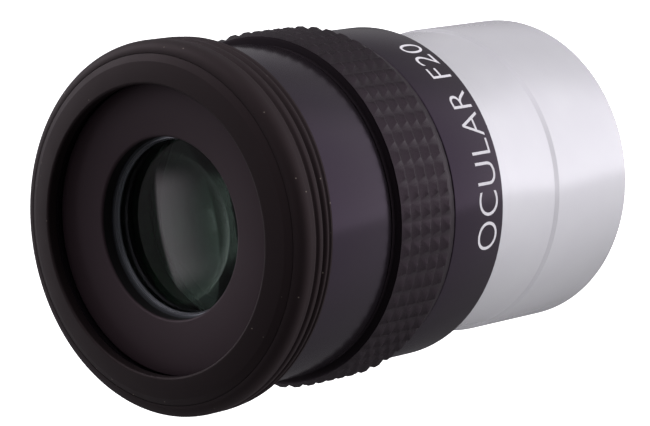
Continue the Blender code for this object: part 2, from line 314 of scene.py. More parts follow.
@dataclass(frozen=True)
class MouldedRubber:
    """Moulded rubber, matte black with a fine grain, lighter and smoother further from the axis: fingers rub
    the outer parts lighter, and on the grip ring the darker front step wall inside that reach is painted
    shade.

    The reach gives how far from the axis the lighter parts start and are full, in metres, and polish is how
    much smoother they are. Dust is the strength of the pale specks that cling to soft rubber.
    """

    name: str
    base: str
    wear_and_unshaded: str
    wear_and_shade_reach: tuple[float, float]
    roughness: tuple[float, float] = (0.48, 0.62)
    polish: float = 0.0
    gloss: float = 0.3
    gloss_tint: str = "#FFE2E8"
    dust: float = 0.0
    speck: str = "#8F857C"
    speck_spacing: float = 1.1 * MM
    # Radius of a speck's full middle and of its faded edge, as shares of the spacing.
    speck_size: tuple[float, float] = (0.035, 0.08)
    # The share of all places that hold no speck, and where the fainter ones end.
    speck_bare: tuple[float, float] = (0.5, 0.54)
    grain_width: float = 0.12 * MM
    cloud_width: float = 2.5 * MM
    relief: float = 0.012 * MM

    def build(self) -> Material:
        """Build the material.

        Returns:
            The finished material.
        """
        paint = Paint(self.name)
        grain = {"Vector": paint.place, "Scale": 1 / self.grain_width, "Detail": 3.0, "Roughness": 0.6}
        cloud = paint.add("TexNoise", {"Vector": paint.place, "Scale": 1 / self.cloud_width, "Detail": 4.0})
        # Inside this reach the rubber keeps its darker shade: painted shade on the grip's front step wall,
        # and plain rubber that fingers don't reach elsewhere. Outside it is the lighter shade of wear.
        edges = {"Value": paint.axis_distance(), "From Min": self.wear_and_shade_reach[0], "From Max": self.wear_and_shade_reach[1]}
        reach = paint.add("MapRange", edges)
        wear_and_unshaded = paint.add("Math", {0: reach, 1: cloud}, operation="MULTIPLY")
        shades = {0: wear_and_unshaded, MIX_A: colour(self.base), MIX_B: colour(self.wear_and_unshaded)}
        shade = paint.add("Mix", shades, MIX_RESULT, data_type="RGBA")
        rough = {"Value": cloud, "To Min": self.roughness[0], "To Max": self.roughness[1]}
        smoother = paint.add("Math", {0: reach, 1: self.polish}, operation="MULTIPLY")
        paint.set(
            Base_Color=self.dusted(paint, shade) if self.dust else shade,
            Roughness=paint.add("Math", {0: paint.add("MapRange", rough), 1: smoother}, operation="SUBTRACT"),
            Specular_IOR_Level=self.gloss,
            Specular_Tint=colour(self.gloss_tint),
            Normal=paint.add(
                "Bump", {"Height": paint.add("TexNoise", grain), "Distance": self.relief, "Strength": 0.5}
            ),
        )
        return paint.material

    def dusted(self, paint: Paint, shade: bpy.types.NodeSocket) -> bpy.types.NodeSocket:
        """Scatter pale specks over a colour.

        Args:
            paint: The material.
            shade: The rubber's own colour.

        Returns:
            The colour with the specks.
        """
        full, faded = self.speck_size
        bare, dense = self.speck_bare
        specks = paint.add("TexVoronoi", {"Vector": paint.place, "Scale": 1 / self.speck_spacing})
        distance, pick = (specks.node.outputs[name] for name in ("Distance", "Color"))
        near = {"Value": distance, "From Min": full, "From Max": faded, "To Min": 1.0, "To Max": 0.0}
        picked = {"Value": pick, "From Min": bare, "From Max": dense}
        spot = {0: paint.add("MapRange", near), 1: paint.add("MapRange", picked)}
        share = {0: paint.add("Math", spot, operation="MULTIPLY"), 1: self.dust}
        cover = paint.add("Math", share, operation="MULTIPLY")
        shades = {0: cover, MIX_A: shade, MIX_B: colour(self.speck)}
        return paint.add("Mix", shades, MIX_RESULT, data_type="RGBA")


@dataclass(frozen=True)
class CoatedGlass:
    """Optical glass with an anti-reflection coating, which colours what the surface reflects."""

    name: str
    coating: str
    glass: str = "#E6F4EC"
    cool: str = "#DDF0E8"
    index: float = 1.56
    film_width: float = 7 * MM

    def build(self) -> Material:
        """Build the material.

        Returns:
            The finished material.
        """
        paint = Paint(self.name)
        film = paint.add("TexNoise", {"Vector": paint.place, "Scale": 1 / self.film_width, "Detail": 1.0})
        shades = {0: film, MIX_A: colour(self.glass), MIX_B: colour(self.cool)}
        paint.set(
            Base_Color=paint.add("Mix", shades, MIX_RESULT, data_type="RGBA"),
            Roughness=0.0,
            IOR=self.index,
            Transmission_Weight=1.0,
            Specular_Tint=colour(self.coating),
        )
        return paint.material


@dataclass(frozen=True)
class MatteBlackPaint:
    """Matte black paint against stray light, on the inner walls, the rings and the lenses' ground edges."""

    base: str = "#0D0C0D"
    pale: str = "#121112"
    grain_width: float = 0.15 * MM
    relief: float = 0.01 * MM

    def build(self) -> Material:
        """Build the material.

        Returns:
            The finished material.
        """
        paint = Paint("matte_black_paint")
        grain = paint.add("TexNoise", {"Vector": paint.place, "Scale": 1 / self.grain_width, "Detail": 3.0})
        shades = {0: grain, MIX_A: colour(self.base), MIX_B: colour(self.pale)}
        paint.set(
            Base_Color=paint.add("Mix", shades, MIX_RESULT, data_type="RGBA"),
            Roughness=paint.add("MapRange", {"Value": grain, "To Min": 0.65, "To Max": 0.8}),
            Specular_IOR_Level=0.3,
            Normal=paint.add("Bump", {"Height": grain, "Distance": self.relief, "Strength": 0.4}),
        )
        return paint.material


@dataclass(frozen=True)
class SatinAluminium:
    """Bare turned aluminium, pale grey with fine rings."""

    base: str = "#7E828A"
    pale: str = "#96999F"
    ring_spacing: float = 0.08 * MM
    relief: float = 0.004 * MM

    def build(self) -> Material:
        """Build the material.

        Returns:
            The finished material.
        """
        paint = Paint("satin_turned_aluminium")
        rings = paint.turning_marks(self.ring_spacing)
        shades = {0: rings, MIX_A: colour(self.base), MIX_B: colour(self.pale)}
        paint.set(
            Base_Color=paint.add("Mix", shades, MIX_RESULT, data_type="RGBA"),
            Metallic=0.7,
            Roughness=paint.add("MapRange", {"Value": rings, "To Min": 0.22, "To Max": 0.32}),
            Normal=paint.add("Bump", {"Height": rings, "Distance": self.relief, "Strength": 0.5}),
        )
        return paint.material


@dataclass(frozen=True)
class PrintedInk:
    """White pad-printed ink, slightly uneven where it lies on the blasted metal."""

    base: str = "#E9E7EC"
    thin: str = "#D6D3DA"
    grain_width: float = 0.2 * MM
    relief: float = 0.004 * MM

    def build(self) -> Material:
        """Build the material.

        Returns:
            The finished material.
        """
        paint = Paint("white_pad_printed_ink")
        grain = paint.add("TexNoise", {"Vector": paint.place, "Scale": 1 / self.grain_width, "Detail": 3.0})
        shades = {0: grain, MIX_A: colour(self.base), MIX_B: colour(self.thin)}
        paint.set(
            Base_Color=paint.add("Mix", shades, MIX_RESULT, data_type="RGBA"),
            Roughness=0.5,
            Normal=paint.add("Bump", {"Height": grain, "Distance": self.relief, "Strength": 0.4}),
        )
        return paint.material


# Meshes


def rounded(corners: Sequence[tuple[float, ...]]) -> Outline:
    """Turn corners into an outline with arcs.

    Args:
        corners: (r, z) or (r, z, radius) for each corner of a closed outline, in metres.

    Returns:
        The outline's points.
    """
    points: Outline = []
    for i, corner in enumerate(corners):
        here = Vector(corner[:2])
        radius = corner[2] if len(corner) > 2 else 0.0
        back = (Vector(corners[i - 1][:2]) - here).normalized()
        ahead = (Vector(corners[(i + 1) % len(corners)][:2]) - here).normalized()
        half = back.angle(ahead) / 2
        if not radius or half > FLAT_CORNER:
            points.append((here.x, here.y))
            continue
        reach = radius / math.tan(half)
        centre = here + (back + ahead).normalized() * (radius / math.sin(half))
        start, end = here + back * reach - centre, here + ahead * reach - centre
        first = math.atan2(start.y, start.x)
        sweep = (math.atan2(end.y, end.x) - first + math.pi) % math.tau - math.pi
        for k in range(CORNER_POINTS + 1):
            turn = first + sweep * k / CORNER_POINTS
            points.append((centre.x + radius * math.cos(turn), centre.y + radius * math.sin(turn)))
    return points


def lathe(
    name: str, outline: Outline, steps: int = ROUND_STEPS, shape: Shape | None = None
) -> bpy.types.Object:
    """Turn an outline about the optical axis.

    Args:
        name: The piece's name.
        outline: Closed (r, z) outline. Where it starts and ends on the axis, those ends become poles.
        steps: Points round the piece.
        shape: Given r, z and the angle, returns the r and z to use there. None keeps the piece round.

    Returns:
        The piece, with its place in its mesh.
    """
    vertices: list[tuple[float, float, float]] = []
    rows: list[list[int]] = []
    for r, z in outline:
        if r < SAME_PLACE:
            rows.append([len(vertices)] * steps)
            vertices.append((0.0, 0.0, z))
            continue
        rows.append(list(range(len(vertices), len(vertices) + steps)))
        for k in range(steps):
            angle = math.tau * k / steps
            rr, zz = shape(r, z, angle) if shape else (r, z)
            vertices.append((rr * math.cos(angle), rr * math.sin(angle), zz))
    faces = []
    open_ended = outline[0][0] < SAME_PLACE
    for i in range(len(rows) - 1 if open_ended else len(rows)):
        upper, lower = rows[i], rows[(i + 1) % len(rows)]
        for k in range(steps):
            n = (k + 1) % steps
            corners = [upper[k], lower[k], lower[n], upper[n]]
            faces.append([v for j, v in enumerate(corners) if v != corners[j - 1]])
    mesh = bpy.data.meshes.new(name)
    mesh.from_pydata(vertices, [], faces)
    return finish_mesh(name, mesh)


def finish_mesh(name: str, mesh: bpy.types.Mesh, sharp: float = SHARP_ANGLE) -> bpy.types.Object:
    """Close a mesh's seams, point its faces outwards, shade it smooth with sharp corners and link it.

    Args:
        name: The piece's name.
        mesh: Its mesh.
        sharp: Turn between two faces past which their edge is a corner, in radians.

    Returns:
        The new object.
    """
    bm = bmesh.new()
    bm.from_mesh(mesh)
    bmesh.ops.remove_doubles(bm, verts=bm.verts, dist=SAME_PLACE)
    bmesh.ops.recalc_face_normals(bm, faces=bm.faces)
    bm.to_mesh(mesh)
    bm.free()
    mesh.shade_smooth()
    mesh.set_sharp_from_angle(angle=sharp)
    obj = bpy.data.objects.new(name, mesh)
    bpy.context.scene.collection.objects.link(obj)
    return obj


def plain_mesh(source: bpy.types.Object) -> bpy.types.Mesh:
    """Turn an object's evaluated shape into a plain mesh, and remove the object.

    Args:
        source: The object, which may be a text or have modifiers.

    Returns:
        The mesh.
    """
    bpy.context.view_layer.update()
    mesh = bpy.data.meshes.new_from_object(source.evaluated_get(bpy.context.evaluated_depsgraph_get()))
    bpy.data.objects.remove(source)
    return mesh


def dress(piece: bpy.types.Object, *finishes: Material) -> None:
    """Put finishes in a piece's material slots, the first one on every face."""
    piece.data.materials.clear()
    for finish in finishes:
        piece.data.materials.append(finish)


def dress_where(piece: bpy.types.Object, index: int, test: Callable[[Vector], bool]) -> None:
    """Give one of a piece's finishes to the faces whose centre passes a test."""
    for face in piece.data.polygons:
        if test(face.center):
            face.material_index = index


def ride(piece: bpy.types.Object, slot: Slot | None, *nodes: str) -> None:
    """Let a piece ride on the fixed body and stand for CAD nodes.

    Args:
        piece: The piece.
        slot: The slot, or None for one that the record doesn't know; not used.
        *nodes: The CAD nodes that it replaces.
    """
    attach(piece, Body.ROOT.value)
    if nodes:
        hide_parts(*nodes)
    log.info("%s: %d faces", piece.name, len(piece.data.polygons))


@dataclass
class Span:
    """A CAD node's reach: its outer radius, bottom and top."""

    radius: float
    bottom: float
    top: float

    @classmethod
    def of(cls, node: str) -> "Span":
        """Read a node's reach from its box."""
        low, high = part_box(node)
        return cls(max(high.x, -low.x), low.z, high.z)


# Sub-assemblies


@dataclass
class Barrel:
    """Chromed tube with a lip, a safety undercut and a filter thread inside its mouth."""

    wall: float = 1.85 * MM
    lip: float = 2.5 * MM
    undercut_depth: float = 0.22 * MM
    undercut_length: float = 8.1 * MM
    chamfer: float = 0.5 * MM
    spigot_wall: float = 0.9 * MM
    shoulder: float = 0.7 * MM
    mouth_land: float = 0.45 * MM
    thread_start: float = 0.5 * MM
    thread_pitch: float = 0.6 * MM
    thread_length: float = 4.2 * MM
    thread_depth: float = 0.32 * MM
    # Points of the outline in each turn of the thread.
    thread_points: int = 8

    def build(self, chrome: Material, inside: Material) -> None:
        """Build the barrel and dress it.

        Args:
            chrome: The finish outside.
            inside: The finish of the bore.
        """
        cad, collar_bottom = Span.of("barrel"), Span.of("housing").bottom
        bore = cad.radius - self.wall
        top = collar_bottom + self.shoulder
        low = collar_bottom - self.lip - self.undercut_length
        waist = cad.radius - self.undercut_depth
        rows = round(self.thread_length / (self.thread_pitch / self.thread_points))
        thread = [(bore, self.thread_start + self.thread_length * i / rows) for i in range(rows + 1)]
        outline = rounded([
            (bore + self.spigot_wall, cad.top),
            (bore + self.spigot_wall, top),
            (cad.radius, top),
            (cad.radius, collar_bottom - self.lip, 0.15 * MM),
            (waist, collar_bottom - self.lip, 0.1 * MM),
            (waist, low + self.chamfer, 0.1 * MM),
            (cad.radius, low, 0.08 * MM),
            (cad.radius, 0.0, 0.18 * MM),
            (bore + self.mouth_land, 0.0, 0.1 * MM),
        ]) + thread + [(bore, cad.top)]
        piece = lathe("barrel_tube", outline, shape=self.cut_thread(bore))
        dress(piece, chrome, inside)
        inner = bore + 0.1 * MM
        dress_where(piece, 1, lambda c: math.hypot(c.x, c.y) < inner and c.z > self.thread_start)
        ride(piece, Slot.BARREL, "barrel")

    def cut_thread(self, bore: float) -> Shape:
        """Make the shape that cuts the helix of the filter thread into the bore.

        Args:
            bore: Radius of the bore.

        Returns:
            The shape, which leaves every other point where it is.
        """
        start, end = self.thread_start, self.thread_start + self.thread_length

        def shape(r: float, z: float, angle: float) -> tuple[float, float]:
            """Move a point of the bore outwards.

            Args:
                r: Its radius.
                z: Its height.
                angle: Its angle round the axis.

            Returns:
                The radius and height to use there.
            """
            if abs(r - bore) > 1e-6 or not start <= z <= end:
                return r, z
            phase = (z / self.thread_pitch - angle / math.tau) % 1.0
            fade = min(1.0, (z - start) / self.thread_pitch, (end - z) / self.thread_pitch)
            return r + self.thread_depth * fade * (1 - abs(2 * phase - 1)), z

        return shape


@dataclass
class Housing:
    """Black outer body: collar with its lettering, grip seat, smooth body and the neck under the eyecup."""

    collar_length: float = 7.7 * MM
    body_step: float = 0.3 * MM
    grip_seat_depth: float = 0.7 * MM
    grip_seat_length: float = 9.4 * MM
    neck_length: float = 2.8 * MM
    neck_depth: float = 1.5 * MM
    flange_step: float = 0.8 * MM
    flange: float = 0.8 * MM
    bore: float = 14.0 * MM
    cell_bore: float = 14.6 * MM
    cell_ledge: float = 3.0 * MM
    socket_step: float = 0.65 * MM
    socket_lip: float = 1.0 * MM
    fit: float = 0.2 * MM
    lettering: str = "OCULAR F20"
    letter_height: float = 2.9 * MM
    letter_bottom: float = 0.95 * MM
    letters_from: float = math.radians(-117)
    letters_to: float = math.radians(-35)
    ink: float = 0.02 * MM
    # Shares of the letter size: the strokes' thinning, and the thickness before the ink is laid on.
    stroke_thinning: float = 0.012
    flat_thickness: float = 0.01
    letter_spacing: float = 1.06

    def build(self, black: Material, inside: Material, print_ink: Material) -> None:
        """Build the housing and its lettering.

        Args:
            black: The finish outside.
            inside: The finish of the bore.
            print_ink: The finish of the lettering.
        """
        cad, barrel = Span.of("housing"), Span.of("barrel")
        body = cad.radius - self.body_step
        collar_top = cad.bottom + self.collar_length
        seat_top = collar_top + self.grip_seat_length
        seat = body - self.grip_seat_depth
        neck_bottom = cad.top - self.neck_length
        socket, mouth = barrel.radius - self.socket_step, barrel.radius + 0.05 * MM
        step = barrel.top + self.fit
        outline = rounded([
            (self.cell_bore, cad.top, 0.1 * MM),
            (body - self.flange_step, cad.top, 0.15 * MM),
            (body - self.flange_step, cad.top - self.flange),
            (body - self.neck_depth, cad.top - self.flange),
            (body - self.neck_depth, neck_bottom),
            (body, neck_bottom, 0.2 * MM),
            (body, seat_top, 0.02 * MM),
            (seat, seat_top),
            (seat, collar_top),
            (cad.radius, collar_top, 0.15 * MM),
            (cad.radius, cad.bottom, 0.2 * MM),
            (mouth, cad.bottom, 0.05 * MM),
            (mouth, cad.bottom + self.socket_lip),
            (socket, cad.bottom + self.socket_lip),
            (socket, step),
            (self.bore, step),
            (self.bore, cad.top - self.cell_ledge),
            (self.cell_bore, cad.top - self.cell_ledge),
        ])
        piece = lathe("housing_body", outline)
        dress(piece, black, inside)
        dress_where(piece, 1, lambda c: math.hypot(c.x, c.y) < self.bore + 0.05 * MM)
        ride(piece, Slot.HOUSING, "housing")
        self.print_lettering(cad, print_ink)

    def print_lettering(self, cad: Span, print_ink: Material) -> None:
        """Print the lettering round the collar, tops towards the eye end.

        Args:
            cad: The housing's reach.
            print_ink: The finish.
        """
        text = bpy.data.curves.new("lettering", "FONT")
        text.body = self.lettering
        text.size = 1.0
        text.extrude = self.flat_thickness
        text.offset = -self.stroke_thinning
        text.space_character = self.letter_spacing
        flat = bpy.data.objects.new("lettering_flat", text)
        bpy.context.scene.collection.objects.link(flat)
        mesh = plain_mesh(flat)
        bm = bmesh.new()
        bm.from_mesh(mesh)
        xs, ys = [v.co.x for v in bm.verts], [v.co.y for v in bm.verts]
        arc = (self.letters_to - self.letters_from) * cad.radius
        self.cut_into_strips(bm, min(xs), max(xs))
        stretch = arc / (max(xs) - min(xs))
        lift = self.letter_height / (max(ys) - min(ys))
        for v in bm.verts:
            angle = self.letters_from + (v.co.x - min(xs)) * stretch / cad.radius
            proud = cad.radius + (self.ink if v.co.z > 0 else -self.ink)
            z = cad.bottom + self.letter_bottom + (v.co.y - min(ys)) * lift
            v.co = (proud * math.cos(angle), proud * math.sin(angle), z)
        bm.to_mesh(mesh)
        bm.free()
        piece = finish_mesh("collar_lettering", mesh)
        dress(piece, print_ink)
        ride(piece, None)

    @staticmethod
    def cut_into_strips(bm: bmesh.types.BMesh, left: float, right: float, strips: int = 90) -> None:
        """Cut flat lettering across its length, so that it bends round the collar without flats.

        Args:
            bm: The lettering.
            left: Where it starts.
            right: Where it ends.
            strips: How many strips it is cut into.
        """
        for k in range(1, strips):
            x = left + (right - left) * k / strips
            everything = bm.verts[:] + bm.edges[:] + bm.faces[:]
            bmesh.ops.bisect_plane(bm, geom=everything, plane_co=(x, 0, 0), plane_no=(1, 0, 0))


# Metres within which two points of the studded face are joined.
STUD_JOIN = 0.002 * MM


@dataclass
class GripRing:
    """Rubber ring whose outer face is moulded with rows of small hipped studs between narrow grooves.

    Crest is the share of a stud's length and width that its top keeps: long round the ring, short along
    the axis.
    """

    cells_around: int = 60
    columns: int = 5
    pitch: float = 1.5 * MM
    front_step: float = 0.45 * MM
    front_bead: float = 16.5 * MM
    height: float = 0.45 * MM
    groove: float = 0.11
    crest: tuple[float, float] = (0.40, 0.08)
    bore: float = 16.0 * MM
    edge_round: float = 0.1 * MM
    rear_drop: float = 0.22 * MM
    # The studs keep their corners: only flatter turns than this are shaded smooth.
    sharp: float = math.radians(50)

    def build(self, rubber: Material) -> None:
        """Build the studded face and the plain bands, close them into one piece and dress it.

        Args:
            rubber: The finish.
        """
        cad = Span.of("grip_ring")
        top = cad.top - self.front_step
        bottom = top - self.columns * self.pitch
        floor = cad.radius - self.height
        face = self.studded_face(floor, (top + bottom) / 2, rubber)
        band = rounded([
            (floor, top),
            (self.front_bead, top),
            (self.front_bead, cad.top),
            (self.bore, cad.top),
            (self.bore, cad.bottom),
            (floor - self.rear_drop, cad.bottom, self.edge_round),
            (floor, bottom),
        ])
        rest = lathe("grip_band", band, steps=self.cells_around)
        bm = bmesh.new()
        bm.from_mesh(rest.data)
        strip = [f for f in bm.faces if self.is_strip(f.calc_center_median(), floor, bottom, top)]
        bmesh.ops.delete(bm, geom=strip, context="FACES_ONLY")
        bm.from_mesh(face)
        mesh = bpy.data.meshes.new("grip_ring_rubber")
        bmesh.ops.remove_doubles(bm, verts=bm.verts, dist=STUD_JOIN)
        bm.to_mesh(mesh)
        bm.free()
        bpy.data.objects.remove(rest)
        piece = finish_mesh("grip_ring_rubber", mesh, self.sharp)
        dress(piece, rubber)
        ride(piece, Slot.GRIP, "grip_ring")

    @staticmethod
    def is_strip(centre: Vector, radius: float, bottom: float, top: float) -> bool:
        """Say whether a face is the plain strip that the studs take the place of."""
        return math.hypot(centre.x, centre.y) > radius - 0.1 * MM and bottom < centre.z < top

    def studded_face(self, radius: float, middle: float, rubber: Material) -> bpy.types.Mesh:
        """Run the stud tree and return its mesh.

        Args:
            radius: Radius of the grooves between the studs.
            middle: Height of the middle of the studded face.
            rubber: The finish that the tree sets.

        Returns:
            A plain mesh in place.
        """
        tree = self.stud_tree()
        carrier = bpy.data.objects.new("stud_carrier", bpy.data.meshes.new("stud_carrier"))
        bpy.context.scene.collection.objects.link(carrier)
        modifier = carrier.modifiers.new("Studs", "NODES")
        modifier.node_group = tree
        values = {
            "Radius": radius,
            "Middle": middle,
            "Columns": self.columns,
            "Cells Around": self.cells_around,
            "Pitch": self.pitch,
            "Groove": self.groove,
            "Height": self.height,
            "Crest Around": self.crest[0],
            "Crest Along": self.crest[1],
            "Rubber": rubber,
        }
        for item in tree.interface.items_tree:
            if item.in_out == "INPUT" and item.name in values:
                modifier[item.identifier] = values[item.name]
        return plain_mesh(carrier)

    @staticmethod
    def stud_tree() -> bpy.types.NodeTree:
        """Make the tree: a flat grid of cells, each raised to a hipped stud, wrapped round the ring.

        Returns:
            The tree, whose inputs are its sizes, its counts and the finish.
        """
        tree = bpy.data.node_groups.new("Studded grip", "GeometryNodeTree")
        tree.interface.new_socket("Geometry", in_out="OUTPUT", socket_type="NodeSocketGeometry")
        lengths = ("Radius", "Middle", "Pitch", "Groove", "Height", "Crest Around", "Crest Along")
        sockets = {name: "NodeSocketFloat" for name in lengths}
        sockets |= {"Columns": "NodeSocketInt", "Cells Around": "NodeSocketInt"}
        sockets["Rubber"] = "NodeSocketMaterial"
        for name, kind in sockets.items():
            tree.interface.new_socket(name, in_out="INPUT", socket_type=kind)
        add = partial(add_node, tree)
        given = add("NodeGroupInput").node.outputs
        grid = {
            "Size X": add("ShaderNodeMath", {0: given["Radius"], 1: math.tau}, operation="MULTIPLY"),
            "Size Y": add("ShaderNodeMath", {0: given["Pitch"], 1: given["Columns"]}, operation="MULTIPLY"),
            "Vertices X": add("ShaderNodeMath", {0: given["Cells Around"], 1: 1.0}, operation="ADD"),
            "Vertices Y": add("ShaderNodeMath", {0: given["Columns"], 1: 1.0}, operation="ADD"),
        }
        cells, top = add("GeometryNodeMeshGrid", grid), True
        # The first step leaves the groove round each cell. The second raises the stud, narrowed to its crest.
        kept = add("ShaderNodeMath", {0: 1.0, 1: given["Groove"]}, operation="SUBTRACT")
        for rise, around, along in (
            (0.0, kept, kept),
            (given["Height"], given["Crest Around"], given["Crest Along"]),
        ):
            raised = {"Mesh": cells, "Selection": top, "Offset Scale": rise}
            cells, top = add("GeometryNodeExtrudeMesh", raised).node.outputs[:2]
            for axis, left in (((1.0, 0.0, 0.0), around), ((0.0, 1.0, 0.0), along)):
                narrowed = {"Geometry": cells, "Selection": top, "Scale": left, "Axis": axis}
                cells = add("GeometryNodeScaleElements", narrowed, scale_mode="SINGLE_AXIS")
        flat = add("ShaderNodeSeparateXYZ", {0: add("GeometryNodeInputPosition")}).node.outputs
        angle = add("ShaderNodeMath", {0: flat["X"], 1: given["Radius"]}, operation="DIVIDE")
        reach = add("ShaderNodeMath", {0: flat["Z"], 1: given["Radius"]}, operation="ADD")
        cosine = add("ShaderNodeMath", {0: angle}, operation="COSINE")
        sine = add("ShaderNodeMath", {0: angle}, operation="SINE")
        wrapped = {
            "X": add("ShaderNodeMath", {0: reach, 1: cosine}, operation="MULTIPLY"),
            "Y": add("ShaderNodeMath", {0: reach, 1: sine}, operation="MULTIPLY"),
            "Z": add("ShaderNodeMath", {0: flat["Y"], 1: given["Middle"]}, operation="ADD"),
        }
        position = add("ShaderNodeCombineXYZ", wrapped)
        placed = add("GeometryNodeSetPosition", {"Geometry": cells, "Position": position})
        # The wrap brings the sheet's two ends together.
        joined = add("GeometryNodeMergeByDistance", {"Geometry": placed, "Distance": STUD_JOIN})
        real = add("GeometryNodeRealizeInstances", {"Geometry": joined})
        painted = add("GeometryNodeSetMaterial", {"Geometry": real, "Material": given["Rubber"]})
        add("NodeGroupOutput", {0: painted})
        return tree


@dataclass
class Eyecup:
    """Rubber eyecup, folded down: a lip and sleeve on the neck, and a ribbed skirt over the housing."""

    lip_bore: float = 14.1 * MM
    lip_crest: float = 16.25 * MM
    lip_slope: float = 0.5 * MM
    sleeve: float = 16.6 * MM
    seam_r: float = 17.0 * MM
    seam_drop: float = 0.92 * MM
    seam_gap: float = 0.04 * MM
    # How far the lip reaches into the skirt under the seam; then two lengths of the skirt, one held down next
    # to the seam and one below the middle of the free edge.
    seam_bite: float = 0.05 * MM
    held: float = 0.3 * MM
    full_drop: float = 0.5 * MM
    shoulder_drop: float = 2.2 * MM
    skirt_bore: float = 16.92 * MM
    edge_height: float = 49.5 * MM
    edge_tilt: float = 1.0 * MM
    edge_twist: float = 0.25 * MM
    # Height and depth of each groove between two ribs.
    grooves: tuple[tuple[float, float], ...] = (
        (52.95 * MM, 0.07 * MM),
        (51.8 * MM, 0.26 * MM),
        (50.75 * MM, 0.34 * MM),
        (49.95 * MM, 0.24 * MM),
    )
    groove_width: float = 0.2 * MM
    # Steps along the crease and along the outside of the skirt.
    crease_rows: int = 12
    skirt_rows: int = 60

    def build(self, rubber: Material) -> None:
        """Build the lip and the skirt.

        Args:
            rubber: The finish.
        """
        base = Span.of("eyecup_base")
        self.build_lip(base, rubber)
        self.build_skirt(Span.of("eyecup_skirt").radius, base.top, rubber)

    def build_lip(self, base: Span, rubber: Material) -> None:
        """Build the lip over the housing's rim, with the sleeve that grips the neck under it.

        Args:
            base: Reach of the eyecup's base.
            rubber: The finish.
        """
        top, rim = base.top, Span.of("housing").top
        seam = top - self.seam_drop
        outer, under = self.seam_r - self.seam_gap, self.seam_r + self.seam_bite
        neck, flange = self.sleeve - 1.2 * MM, self.sleeve - 0.5 * MM
        outline = rounded([
            (self.lip_bore, top, 0.22 * MM),
            (self.lip_crest, top - self.lip_slope, 0.25 * MM),
            (outer, seam, 0.08 * MM),
            (outer, seam - 0.14 * MM),
            (under, seam - 0.18 * MM),
            (under, seam - 0.36 * MM),
            (self.sleeve, seam - 0.5 * MM),
            (self.sleeve, base.bottom),
            (neck, base.bottom),
            (neck, rim - 1.1 * MM),
            (flange, rim - 1.1 * MM),
            (flange, rim + 0.05 * MM),
            (self.lip_bore, rim + 0.05 * MM, 0.1 * MM),
        ])
        piece = lathe("eyecup_lip", outline)
        dress(piece, rubber)
        ride(piece, Slot.EYECUP, "eyecup_base")

    def build_skirt(self, radius: float, top: float, rubber: Material) -> None:
        """Build the folded skirt with its ribs.

        Args:
            radius: Outer radius of the skirt.
            top: Height of the eyecup's top.
            rubber: The finish.
        """
        seam, shoulder = top - self.seam_drop, top - self.shoulder_drop
        outline: Outline = []
        for k in range(self.crease_rows + 1):
            turn = math.pi / 2 * k / self.crease_rows
            r = self.seam_r + (radius - self.seam_r) * math.sin(turn)
            outline.append((r, shoulder + (seam - shoulder) * math.cos(turn)))
        for k in range(1, self.skirt_rows + 1):
            z = shoulder + (self.edge_height + 0.25 * MM - shoulder) * k / self.skirt_rows
            outline.append((radius - self.groove_depth(z), z))
        outline += [
            (radius - 0.08 * MM, self.edge_height + 0.08 * MM),
            (radius - 0.25 * MM, self.edge_height),
            (self.skirt_bore + 0.15 * MM, self.edge_height),
            (self.skirt_bore, self.edge_height + 0.15 * MM),
            (self.skirt_bore, seam - 0.55 * MM),
            (self.seam_r, seam - 0.4 * MM),
        ]
        piece = lathe("eyecup_skirt_and_rim", outline, shape=self.settle(seam))
        dress(piece, rubber)
        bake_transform(piece)
        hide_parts("eyecup_skirt", "eyecup_rim")
        log.info("%s: %d faces", piece.name, len(piece.data.polygons))

    def groove_depth(self, z: float) -> float:
        """Return how far the skirt is cut in at a height."""
        return sum(deep * math.exp(-(((z - mid) / self.groove_width) ** 2)) for mid, deep in self.grooves)

    def settle(self, seam: float) -> Shape:
        """Make the shape that the folded skirt settles in: its free edge is tilted and slightly uneven.

        Args:
            seam: Height of the seam, where nothing moves.

        Returns:
            The shape.
        """

        def shape(r: float, z: float, angle: float) -> tuple[float, float]:
            """Move a point of the skirt along the axis, more the nearer it is to the free edge.

            Args:
                r: Its radius.
                z: Its height.
                angle: Its angle round the axis.

            Returns:
                The radius and height to use there.
            """
            share = min(1.0, max(0.0, (seam - z) / (seam - self.edge_height)))
            uneven = 0.05 * MM * math.sin(3 * angle + 0.6) + 0.03 * MM * math.sin(7 * angle)
            drop = -self.edge_tilt * math.cos(angle) + self.edge_twist * math.sin(angle) + uneven
            return r, z + share * drop

        return shape


